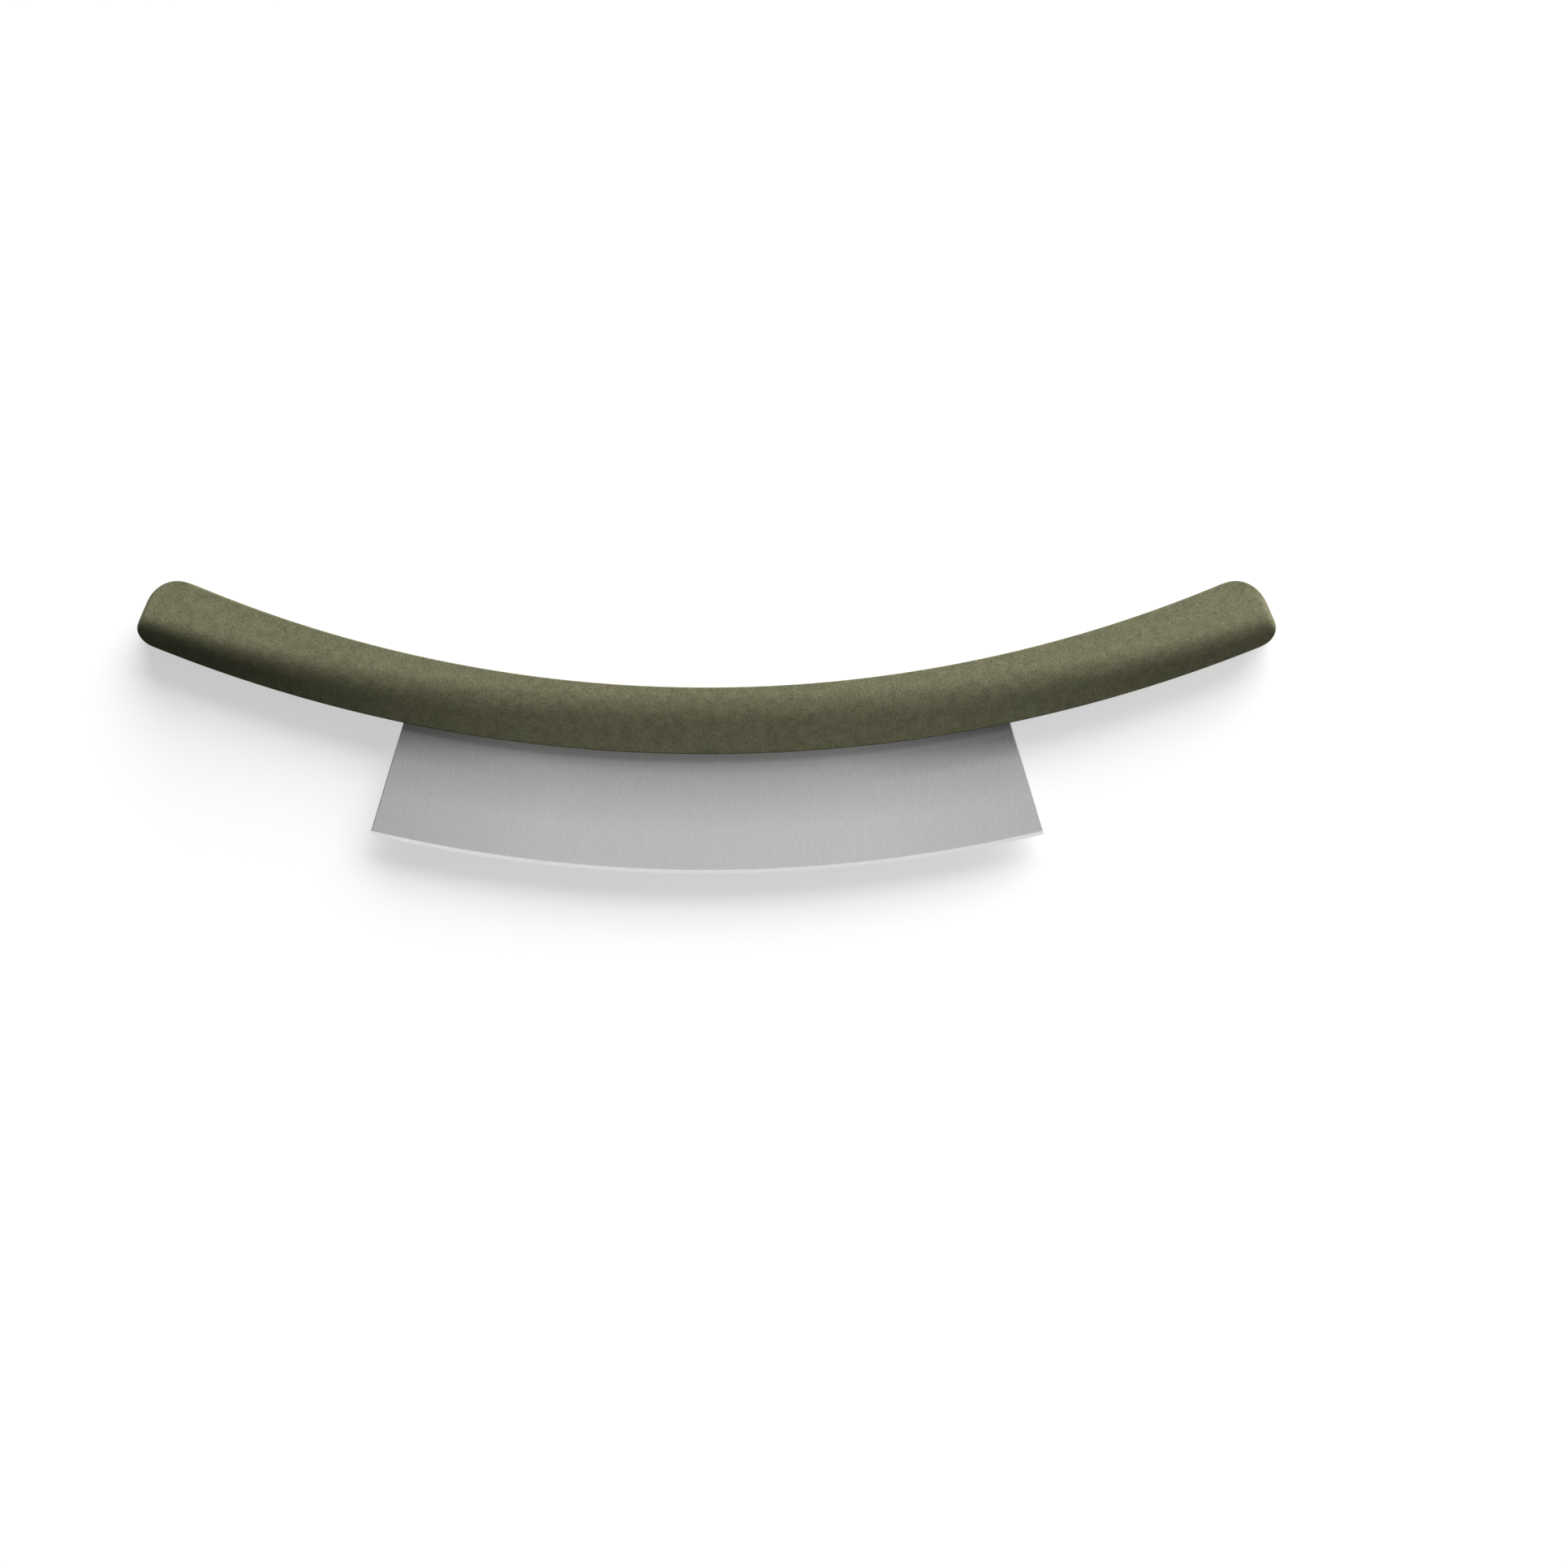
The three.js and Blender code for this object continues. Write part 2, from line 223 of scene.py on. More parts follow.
class StudioSizes(bpy.types.PropertyGroup):
    """Camera, lamps and floor"""

    frame_width: length("Frame width", "Width of the picture at the blade", 0.51206)
    aim_x: length("Aim X", "Point that the camera looks down on", 0.02518)
    aim_y: length("Aim Y", "Point that the camera looks down on", -0.01842)
    lens: number("Lens", "Focal length in millimetres", 135.0)
    sensor: number("Sensor", "Width of the camera's sensor in millimetres", 36.0)
    view_depth: length("View depth", "How far the camera sees", 20.0)
    key_strength: number("Key strength", "Soft light from beyond the grips", 6.1)
    key_height: angle("Key height", "Above the horizon", 28.0)
    key_turn: angle("Key turn", "Towards the right grip", 18.0)
    key_softness: angle("Key softness", "Spread of the lamp", 62.0)
    side_power: number("Side power", "Weak panel beyond the right grip, in watts", 0.7)
    side_size: length("Side size", "Width of that panel", 0.4)
    side_place: FloatVectorProperty(
        name="Side place", description="Where that panel stands", default=(0.45, 0.05, 0.4),
        subtype='TRANSLATION'
    )
    ambient: number("Ambient", "Level of the room on matt surfaces", 0.009)
    ceiling: number("Ceiling", "Level of the room overhead, as metal shows it", 0.15)
    far_wall: number("Far wall", "Level of the room beyond the grips, as metal shows it", 0.7)
    near_wall: number("Near wall", "Level of the room before the cutting edge, as metal shows it", 1.3)
    wall_near_y: number("Near wall ends", "Y of the direction where the near wall ends", -0.1)
    wall_far_y: number("Far wall begins", "Y of the direction where the far wall begins", 0.8)
    wall_top: angle("Wall top", "Height above the horizon where the walls start to fade", 30.0)
    ceiling_edge: angle("Ceiling edge", "Height above the horizon where they have faded", 70.0)
    floor_albedo: share("Floor tone", "Diffuse tone of the pale floor", 0.495)
    floor_bounce: share("Floor bounce", "Tone that the floor throws back on the knife", 0.13)
    floor_white: share("Floor white", "Added for rays that see the floor straight", 0.561)
    floor_radius: length("Floor radius", "Of the round floor", 4.0)


# Places on the knife


def sizes():
    scene = bpy.context.scene
    return scene.mezzaluna_handle, scene.mezzaluna_blade


def mix(start, end, amount):
    return start + (end - start) * amount


def lower_edge(blade):
    """Height of the handle's lower edge, in the middle."""
    return BLADE_LOW.y + blade.reach


def on_handle(handle, blade, along, across, depth):
    """A place on the bowed handle: along its centreline, across it towards the upper edge, and in depth."""
    turn = along / handle.bow_radius
    radius = handle.bow_radius - across
    centreline = lower_edge(blade) + handle.width_middle / 2
    y = centreline + handle.bow_radius - radius * math.cos(turn)
    return Vector((radius * math.sin(turn), y, MID_PLANE + depth))


def tip_round(handle, along, round_length):
    """Share of the full section that is left at a place along the handle."""
    into = max(0.0, abs(along) - handle.length / 2 + round_length) / round_length
    return max(0.0, 1 - into ** handle.tip_fullness) ** (1 / handle.tip_fullness)


def edge_centre(blade):
    """Height of the centre that the cutting edge is bowed about."""
    return BLADE_LOW.y + blade.edge_radius


def edge_corner(blade):
    """Height of the two corners of the cutting edge."""
    return edge_centre(blade) - math.sqrt(blade.edge_radius ** 2 - (blade.edge_chord / 2) ** 2)


def blade_side(blade, y):
    """Where a side of the blade stands at a height."""
    return blade.edge_chord / 2 - (y - edge_corner(blade)) * math.tan(blade.side_flare)


def seat_end(handle, blade):
    """How far along the handle its seat for the blade reaches, at the lower edge."""
    radius = handle.bow_radius + handle.width_middle / 2
    along = blade.edge_chord / 2
    for _ in range(SEAT_ROUNDS):
        y = on_handle(handle, blade, along, -handle.width_middle / 2, 0).y
        along = handle.bow_radius * math.asin((blade_side(blade, y) + blade.seat_gap) / radius)
    return along


def scale_section(handle, blade, along, seat):
    """Ring of (across, depth) points round one scale: over its crown from the upper rim to the lower one,
    then back along its inner face, which stands off by the seat at the lower rim."""
    reach = abs(along) / (handle.length / 2)
    half_width = mix(handle.width_middle, handle.width_tip, reach ** 2) / 2

    def from_tip_point(across, round_length):
        return handle.tip_point + (across - handle.tip_point) * tip_round(handle, along, round_length)

    sweep = reach ** handle.crown_sweep
    crown = from_tip_point(mix(handle.crown_middle, handle.crown_tip, sweep), handle.tip_lower_round)
    top = from_tip_point(half_width, handle.tip_upper_round)
    bottom = from_tip_point(-half_width, handle.tip_lower_round)
    fullness = tip_round(handle, along, handle.tip_depth_round)
    roll = mix(handle.roll_middle, handle.roll_tip, sweep)
    facet = mix(handle.facet_middle, handle.facet_tip, reach ** handle.facet_sweep)
    joint = handle.joint_gap / 2
    swell = fullness * (1 - joint / (handle.depth / 2))

    def outer_face(place):
        """Point of the outer face, for a place from 1 at the upper edge to -1 at the lower one."""
        across = mix(bottom, top, (place + 1) / 2)
        below = max(0.0, crown - across)
        fall = below ** 2 / (2 * roll) if below < roll else below - roll / 2
        exponent = handle.upper_ease if place > 0 else handle.lower_ease
        edge = (1 - abs(place) ** exponent) ** (1 / handle.ease_through)
        return across, joint + swell * edge * (handle.depth / 2 - facet * fall)

    steps = handle.half_points
    rim = min(handle.rim_round, fullness * handle.depth * RIM_SHARE)
    ring = []
    for i in range(-steps, steps + 1):
        place = math.copysign(1 - (1 - abs(i) / steps) ** EDGE_CROWDING, -i)
        ring.append(outer_face(place))
    ring[0] = (ring[0][0], joint + rim)
    ring[-1] = (ring[-1][0], seat + rim)
    for i in range(len(ring) - 2, steps, -1):
        ring[i] = (ring[i][0], max(ring[i][1], ring[i + 1][1]))

    # Points close to the rims on the inner face hold their rounds tight
    upper = ring[0][0]
    lower = ring[-1][0]
    seat_top = mix(lower, upper, (blade.tang_depth + 2 * blade.fit) / handle.width_middle)
    ring += [(lower + rim, seat), (lower + 3 * rim, seat), (seat_top - rim, seat)]
    ring += [(seat_top + rim, joint), (upper - 3 * rim, joint), (upper - rim, joint)]
    return ring


def stations(handle, blade):
    """Places of the sections from tip to tip, each with how far the inner face stands off there."""
    half = handle.length / 2
    grip = half - handle.tip_upper_round
    end = seat_end(handle, blade)
    step = handle.rim_round
    joint = handle.joint_gap / 2
    seat = blade.thickness / 2 + blade.seat_gap

    # Close sections hold the step at the end of the seat tight
    right = [(end - 4 * step, seat), (end, seat), (end + step, joint), (end + 5 * step, joint)]
    count_even = math.ceil(grip / handle.station_step)
    for i in range(1, count_even + 1):
        place = grip * i / count_even
        if abs(place - end) > handle.station_step / 2:
            right.append((place, seat if place < end else joint))
    for i in range(1, handle.tip_stations + 1):
        place = grip + handle.tip_upper_round * math.sin(i / handle.tip_stations * math.pi / 2)
        right.append((min(place, half), joint))
    right.sort()
    return [(-place, stand_off) for place, stand_off in reversed(right)] + [(0.0, seat)] + right


# Modelling


def start_afresh():
    if bpy.context.object and bpy.context.object.mode != 'OBJECT':
        bpy.ops.object.mode_set(mode='OBJECT')
    bpy.ops.object.select_all(action='DESELECT')


def take(piece):
    """Make a piece the one that operators act on."""
    start_afresh()
    piece.select_set(True)
    bpy.context.view_layer.objects.active = piece


def apply_modifier(piece, kind, **settings):
    take(piece)
    bpy.ops.object.modifier_add(type=kind)
    modifier = piece.modifiers[-1]
    for name, value in settings.items():
        setattr(modifier, name, value)
    bpy.ops.object.modifier_apply(modifier=modifier.name)


def close_up(piece, merge_distance=MERGE_DISTANCE):
    """Merge doubles and turn all faces outwards."""
    take(piece)
    bpy.ops.object.mode_set(mode='EDIT')
    bpy.ops.mesh.select_all(action='SELECT')
    bpy.ops.mesh.remove_doubles(threshold=merge_distance)
    bpy.ops.mesh.normals_make_consistent(inside=False)
    bpy.ops.object.mode_set(mode='OBJECT')


def place_ring(piece, handle, blade, along, seat):
    """Set the selected ring of points on the scale's section at a place along the handle."""
    ring = scale_section(handle, blade, along, seat)
    mesh = bmesh.from_edit_mesh(piece.data)
    order = mesh.verts.layers.int["ring_order"]
    for vert in mesh.verts:
        if vert.select:
            across, depth = ring[vert[order]]
            vert.co = on_handle(handle, blade, along, across, depth)
    bmesh.update_edit_mesh(piece.data)


def loft_scale(handle, blade):
    """The front scale: a ring of points, extruded from section to section, closed at both tips."""
    places = stations(handle, blade)
    ring_points = len(scale_section(handle, blade, *places[0]))
    start_afresh()
    bpy.ops.mesh.primitive_circle_add(vertices=ring_points, radius=handle.width_middle / 2)
    piece = bpy.context.object
    bpy.ops.object.mode_set(mode='EDIT')
    mesh = bmesh.from_edit_mesh(piece.data)
    order = mesh.verts.layers.int.new("ring_order")
    mesh.verts.ensure_lookup_table()
    for i, vert in enumerate(mesh.verts):
        vert[order] = i
    bmesh.update_edit_mesh(piece.data)
    place_ring(piece, handle, blade, *places[0])
    for along, seat in places[1:]:
        bpy.ops.mesh.extrude_edges_move()
        place_ring(piece, handle, blade, along, seat)
    close_up(piece)
    apply_modifier(piece, 'SUBSURF', levels=1, render_levels=1)
    return piece


def pin_cutter(nodes, fit):
    """Round bores, wider and longer than the pins by the fit, as one cutting mesh."""
    bores = []
    for name in nodes:
        low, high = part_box(name)
        start_afresh()
        bpy.ops.mesh.primitive_cylinder_add(
            vertices=BORE_SIDES,
            radius=(high.x - low.x) / 2 + fit,
            depth=high.z - low.z + 2 * fit,
            location=(low + high) / 2,
        )
        bores.append(bpy.context.object)
    for bore in bores:
        bore.select_set(True)
    bpy.ops.object.join()
    bpy.ops.object.transform_apply()
    return bpy.context.object


def bore(piece, cutter):
    apply_modifier(piece, 'BOOLEAN', operation='DIFFERENCE', solver='EXACT', object=cutter)


def model_blade(handle, blade):
    """The blade: its section spun along the cutting edge, then trimmed at both flared sides."""
    centre = Vector((0, edge_centre(blade), MID_PLANE))
    ground_line = BLADE_LOW.y + blade.bevel_height
    tang_top = lower_edge(blade) + blade.tang_depth
    half_turn = math.asin((blade.edge_chord / 2 + blade.tang_depth) / blade.edge_radius)

    # The section starts as a plane that stands on its side, and its lower edge is drawn out to the bevel
    start_afresh()
    bpy.ops.mesh.primitive_plane_add(
        size=1, location=(0, (ground_line + tang_top) / 2, MID_PLANE), rotation=(0, math.pi / 2, 0)
    )
    piece = bpy.context.object
    piece.scale = (blade.thickness, tang_top - ground_line, 1)
    bpy.ops.object.transform_apply()
    bpy.ops.object.mode_set(mode='EDIT')
    bpy.ops.mesh.select_mode(type='VERT')
    mesh = bmesh.from_edit_mesh(piece.data)
    for vert in mesh.verts:
        vert.select = vert.co.y < (ground_line + tang_top) / 2
    mesh.select_flush(False)
    mesh.select_flush(True)
    bmesh.update_edit_mesh(piece.data)
    bpy.ops.mesh.extrude_edges_move(TRANSFORM_OT_translate={"value": (0, -blade.bevel_height, 0)})
    bpy.ops.transform.resize(
        value=(1, 1, blade.edge_land / blade.thickness), center_override=(0, BLADE_LOW.y, MID_PLANE)
    )

    # Turned to the right end of the cutting edge, and spun to the left
    bpy.ops.mesh.select_all(action='SELECT')
    bpy.ops.transform.rotate(value=-half_turn, orient_axis='Z', center_override=centre)
    bpy.ops.mesh.spin(steps=blade.arc_steps, angle=2 * half_turn, center=centre, axis=(0, 0, 1))

    # The tang's upper edge follows the bow of the handle
    bow_centre = lower_edge(blade) + handle.width_middle / 2 + handle.bow_radius
    mesh = bmesh.from_edit_mesh(piece.data)
    for vert in mesh.verts:
        if (vert.co - centre).xy.length < (centre.y - tang_top) + blade.bevel_height:
            vert.co.y = bow_centre - math.sqrt((bow_centre - tang_top) ** 2 - vert.co.x ** 2)
    bmesh.update_edit_mesh(piece.data)
    for side in (-1, 1):
        bpy.ops.mesh.select_all(action='SELECT')
        bpy.ops.mesh.bisect(
            plane_co=(side * blade.edge_chord / 2, edge_corner(blade), MID_PLANE),
            plane_no=(side * math.cos(blade.side_flare), math.sin(blade.side_flare), 0),
            use_fill=True,
            clear_outer=True,
        )
        # Of the cut's outline only the long edges on the two faces are deburred
        mesh = bmesh.from_edit_mesh(piece.data)
        corners = []
        for edge in mesh.edges:
            first, second = edge.verts
            on_face = abs(abs(first.co.z - MID_PLANE) - blade.thickness / 2) < MERGE_DISTANCE
            if edge.select and on_face and abs(first.co.z - second.co.z) < MERGE_DISTANCE:
                corners.append(edge)
        bpy.ops.mesh.select_all(action='DESELECT')
        bpy.ops.mesh.select_mode(type='EDGE')
        for edge in corners:
            edge.select = True
        bmesh.update_edit_mesh(piece.data)
        bpy.ops.mesh.bevel(offset=blade.side_ease, segments=2, affect='EDGES')
    close_up(piece)
    return piece


def finish_piece(piece, name, node, materials, smooth_angle):
    """Name a piece, smooth it, give it its materials and tie it to the frame."""
    take(piece)
    piece.name = name
    piece.data.name = name
    bpy.ops.object.shade_smooth_by_angle(angle=smooth_angle)
    for material in materials:
        piece.data.materials.append(material)
    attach(piece, "root")
    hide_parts(node)


# Materials


def principled(tree):
    """The Principled shader in a material's tree."""
    return next(node for node in tree.nodes if node.type == 'BSDF_PRINCIPLED')


def new_material(name):
    """A material, its node tree and its Principled shader."""
    material = bpy.data.materials.new(name)
    material.use_nodes = True
    tree = material.node_tree
    return material, tree, principled(tree)


def feed(tree, socket, value):
    """Link a socket to another one, or set it to a plain value."""
    if isinstance(value, bpy.types.NodeSocket):
        tree.links.new(value, socket)
    else:
        socket.default_value = value


def add_node(tree, kind, settings=None, **inputs):
    """A node with its settings, and its inputs given by name."""
    node = tree.nodes.new(kind)
    for name, value in (settings or {}).items():
        setattr(node, name, value)
    for name, value in inputs.items():
        feed(tree, node.inputs[name.replace("_", " ")], value)
    return node


def blend_colours(tree, amount, first, second, mode='MIX'):
    """A colour between two, each a socket or a plain colour."""
    node = add_node(tree, "ShaderNodeMix", {"data_type": 'RGBA', "blend_type": mode})
    feed(tree, node.inputs[0], amount)
    feed(tree, node.inputs[6], first)
    feed(tree, node.inputs[7], second)
    return node.outputs[2]


def remap(tree, value, low, high, to_low, to_high):
    """A value carried over from one range to another, and kept within it."""
    node = add_node(
        tree, "ShaderNodeMapRange", Value=value, From_Min=low, From_Max=high, To_Min=to_low, To_Max=to_high
    )
    return node.outputs["Result"]


def calculate(tree, operation, first, second):
    """The result of a sum, product or the like of two values."""
    node = add_node(tree, "ShaderNodeMath", {"operation": operation})
    feed(tree, node.inputs[0], first)
    feed(tree, node.inputs[1], second)
    return node.outputs[0]


def calculate_vector(tree, operation, first, second):
    """The outputs of a product or distance of two vectors."""
    node = add_node(tree, "ShaderNodeVectorMath", {"operation": operation})
    feed(tree, node.inputs[0], first)
    feed(tree, node.inputs[1], second)
    return node.outputs


def opaque(colour):
    return (*colour, 1.0)


def grey(level):
    return (level, level, level, 1.0)


def tooling_lines():
    """Group of the fine lines left in steel by brushing, grinding or drawing: a mask of the single lines,
    and a soft one of the broader bands that they lie in."""
    group = bpy.data.node_groups.get("Tooling lines")
    if group:
        return group
    group = bpy.data.node_groups.new("Tooling lines", 'ShaderNodeTree')
    face = group.interface
    face.new_socket("Vector", in_out='INPUT', socket_type='NodeSocketVector')
    face.new_socket("Lines per metre", in_out='INPUT', socket_type='NodeSocketVector')
    face.new_socket("Lines", in_out='OUTPUT', socket_type='NodeSocketFloat')
    face.new_socket("Bands", in_out='OUTPUT', socket_type='NodeSocketFloat')
    given = add_node(group, "NodeGroupInput").outputs
    result = add_node(group, "NodeGroupOutput").inputs
    stretched = calculate_vector(group, 'MULTIPLY', given["Vector"], given["Lines per metre"])["Vector"]
    lines = add_node(group, "ShaderNodeTexNoise", Vector=stretched, Scale=1.0, Detail=3.0, Roughness=0.6)
    bands = add_node(group, "ShaderNodeTexNoise", Vector=stretched, Scale=0.16, Detail=2.0, Roughness=0.5)
    feed(group, result["Lines"], remap(group, lines.outputs[0], *NOISE_RANGE, 0.0, 1.0))
    feed(group, result["Bands"], remap(group, bands.outputs[0], *NOISE_RANGE, 0.0, 1.0))
    return group


def lined_steel(name, dark, light, lines_per_metre, roughness, metallic=1.0):
    """Steel with tooling lines in its tone, gloss and relief."""
    material, tree, shader = new_material(name)
    place = add_node(tree, "ShaderNodeTexCoord").outputs["Object"]
    marks = add_node(
        tree,
        "ShaderNodeGroup",
        {"node_tree": tooling_lines()},
        Vector=place,
        Lines_per_metre=lines_per_metre,
    )
    lines = marks.outputs["Lines"]
    line_part = calculate(tree, 'MULTIPLY', lines, LINE_SHARE)
    band_part = calculate(tree, 'MULTIPLY', marks.outputs["Bands"], BAND_SHARE)
    shade = calculate(tree, 'ADD', line_part, band_part)
    feed(tree, shader.inputs["Base Color"], blend_colours(tree, shade, opaque(dark), opaque(light)))
    gloss = remap(tree, lines, 0.0, 1.0, roughness + GLOSS_SPREAD, roughness - GLOSS_SPREAD)
    feed(tree, shader.inputs["Roughness"], gloss)
    relief = add_node(tree, "ShaderNodeBump", Strength=0.25, Distance=0.00001, Height=lines)
    feed(tree, shader.inputs["Normal"], relief.outputs[0])
    shader.inputs["Metallic"].default_value = metallic
    return material


def paint_shade_on_blade(material, handle, blade):
    """Paint shade on the brushed face: darker below the handle, where the handle's shadow falls, and
    towards the two sides, where the reflection falls off; a strip right at the handle is painted lighter,
    to lift the darkest of that shadow.
    """
    tree = material.node_tree
    base_colour = principled(tree).inputs["Base Color"]
    brushed = base_colour.links[0].from_socket
    place = add_node(tree, "ShaderNodeTexCoord").outputs["Object"]

    # How far a place lies below the bowed lower edge of the handle
    lower_radius = handle.bow_radius + handle.width_middle / 2
    bow_centre = (0.0, lower_edge(blade) + lower_radius, 0.0)
    flat = calculate_vector(tree, 'MULTIPLY', place, (1.0, 1.0, 0.0))["Vector"]
    from_centre = calculate_vector(tree, 'DISTANCE', flat, bow_centre)["Value"]
    below = calculate(tree, 'SUBTRACT', from_centre, lower_radius)

    # Painted shade: darker from the handle downwards, where the handle's shadow falls on the blade
    tone = remap(tree, below, blade.painted_shade_start, blade.painted_shade_end, blade.painted_shade_tone, 1.0)
    # Painted light: a strip right at the handle is lightened, to lift the darkest of the handle's shadow
    strip = remap(tree, below, 0.0, blade.painted_light_height, blade.painted_light_gain, 1.0)
    tone = calculate(tree, 'MULTIPLY', tone, strip)

    x = add_node(tree, "ShaderNodeSeparateXYZ", Vector=place).outputs["X"]
    outer = blade.edge_chord / 2

    def outwards(shift, most):
        """Rises from none to most over the width of the painted shade at each side, shifted along the
        blade.
        """
        off_centre = calculate(tree, 'ABSOLUTE', calculate(tree, 'ADD', x, shift), 0.0)
        return remap(tree, off_centre, outer - blade.painted_shade_width, outer, 0.0, most)

    # Painted shadow: deepest at the sides just below the handle, leaning to the right, where the handle's
    # shadow reaches further
    under_handle = remap(tree, below, blade.corner_shadow_start, blade.corner_shadow_end, 1.0, 0.0)
    corner = calculate(tree, 'MULTIPLY', outwards(blade.painted_shadow_shift, blade.painted_corner_shadow), under_handle)
    # Painted shade: the face also darkens towards both sides, where the brushed steel's reflection falls
    # off
    loss = calculate(tree, 'ADD', corner, outwards(0.0, blade.painted_side_shade))
    tone = calculate(tree, 'MULTIPLY', tone, calculate(tree, 'SUBTRACT', 1.0, loss))
    feed(tree, base_colour, blend_colours(tree, 1.0, brushed, tone, mode='MULTIPLY'))


def fibre_composite(finishes):
    """Pressed wood-fibre composite: cloudy olive with fine dark and pale specks, matt, a little rough."""
    material, tree, shader = new_material("olive_fibre_composite")
    place = add_node(tree, "ShaderNodeTexCoord").outputs["Object"]
    clouds = add_node(tree, "ShaderNodeTexNoise", Vector=place, Scale=55.0, Detail=3.0, Roughness=0.55)
    mottles = add_node(tree, "ShaderNodeTexNoise", Vector=place, Scale=320.0, Detail=2.0, Roughness=0.55)
    grain = add_node(tree, "ShaderNodeTexNoise", Vector=place, Scale=1900.0, Detail=2.0, Roughness=0.6)
    cloud = remap(tree, clouds.outputs[0], *CLOUD_RANGE, 0.0, 1.0)
    speck = remap(tree, grain.outputs[0], *NOISE_RANGE, 0.0, 1.0)

    def flecks(cells_per_metre, shift, threshold):
        """Scattered round flecks: of the pattern's cells, those whose value is past the threshold."""
        moved = add_node(tree, "ShaderNodeMapping", Vector=place, Location=shift)
        cells = add_node(tree, "ShaderNodeTexVoronoi", Vector=moved.outputs[0], Scale=cells_per_metre)
        value = add_node(tree, "ShaderNodeSeparateColor", Color=cells.outputs["Color"]).outputs[0]
        filled = remap(tree, value, threshold, threshold + FLECK_SOFTNESS, 0.0, 1.0)
        inside = remap(tree, cells.outputs["Distance"], *FLECK_EDGE, 1.0, 0.0)
        return calculate(tree, 'MULTIPLY', filled, inside)

    dark = flecks(cells_per_metre=1500.0, shift=(0.013, 0.007, 0.002), threshold=0.90)
    pale = flecks(cells_per_metre=1900.0, shift=(0.031, 0.019, 0.005), threshold=0.78)
    tone = blend_colours(tree, cloud, opaque(finishes.olive), opaque(finishes.olive_warm))
    grain_tone = remap(tree, speck, 0.0, 1.0, *GRAIN_TONE)
    mottle_tone = remap(tree, mottles.outputs[0], *NOISE_RANGE, *MOTTLE_TONE)
    shade = calculate(tree, 'MULTIPLY', grain_tone, mottle_tone)
    tone = blend_colours(tree, 1.0, tone, shade, mode='MULTIPLY')
    dark_amount = calculate(tree, 'MULTIPLY', dark, DARK_FLECKS)
    tone = blend_colours(tree, dark_amount, tone, opaque(finishes.fibre_dark))
    pale_amount = calculate(tree, 'MULTIPLY', pale, PALE_FLECKS)
    tone = blend_colours(tree, pale_amount, tone, opaque(finishes.fibre_light))
    feed(tree, shader.inputs["Base Color"], tone)
    feed(tree, shader.inputs["Roughness"], remap(tree, speck, 0.0, 1.0, *GRAIN_ROUGHNESS))
    height = calculate(tree, 'SUBTRACT', speck, dark)
    relief = add_node(tree, "ShaderNodeBump", Strength=0.35, Distance=0.00008, Height=height)
    feed(tree, shader.inputs["Normal"], relief.outputs[0])
    shader.inputs["Specular IOR Level"].default_value = 0.06
    return material


def straight_view(tree):
    """A mask of the rays that see a surface straight, or in metal or glass."""
    path = add_node(tree, "ShaderNodeLightPath")
    glossy = calculate(tree, 'MAXIMUM', path.outputs["Is Camera Ray"], path.outputs["Is Glossy Ray"])
    return calculate(tree, 'MAXIMUM', glossy, path.outputs["Is Transmission Ray"])


def pale_floor(studio):
    """Pale matt floor that keeps shadows, is white to the camera and lets the camera see up through it."""
    material = bpy.data.materials.new("pale_floor")
    material.use_nodes = True
    tree = material.node_tree
    tree.nodes.clear()
    place = add_node(tree, "ShaderNodeTexCoord").outputs["Object"]
    texture = add_node(tree, "ShaderNodeTexNoise", Vector=place, Scale=3.0, Detail=2.0)
    high = studio.floor_albedo
    low = high * (1 - FLOOR_UNEVENNESS)
    tone = blend_colours(tree, texture.outputs[0], grey(low), grey(high))
    bounced = add_node(tree, "ShaderNodeLightPath").outputs["Is Diffuse Ray"]
    tone = blend_colours(tree, bounced, tone, grey(studio.floor_bounce))
    matt = add_node(tree, "ShaderNodeBsdfDiffuse", Color=tone)
    strength = calculate(tree, 'MULTIPLY', straight_view(tree), studio.floor_white)
    glow = add_node(tree, "ShaderNodeEmission", Color=grey(1.0), Strength=strength)
    lit = add_node(tree, "ShaderNodeAddShader")
    feed(tree, lit.inputs[0], matt.outputs[0])
    feed(tree, lit.inputs[1], glow.outputs[0])
    clear = add_node(tree, "ShaderNodeBsdfTransparent")
    below = add_node(tree, "ShaderNodeNewGeometry").outputs["Backfacing"]
    either = add_node(tree, "ShaderNodeMixShader", Fac=below)
    feed(tree, either.inputs[1], lit.outputs[0])
    feed(tree, either.inputs[2], clear.outputs[0])
    add_node(tree, "ShaderNodeOutputMaterial", Surface=either.outputs[0])
    return material


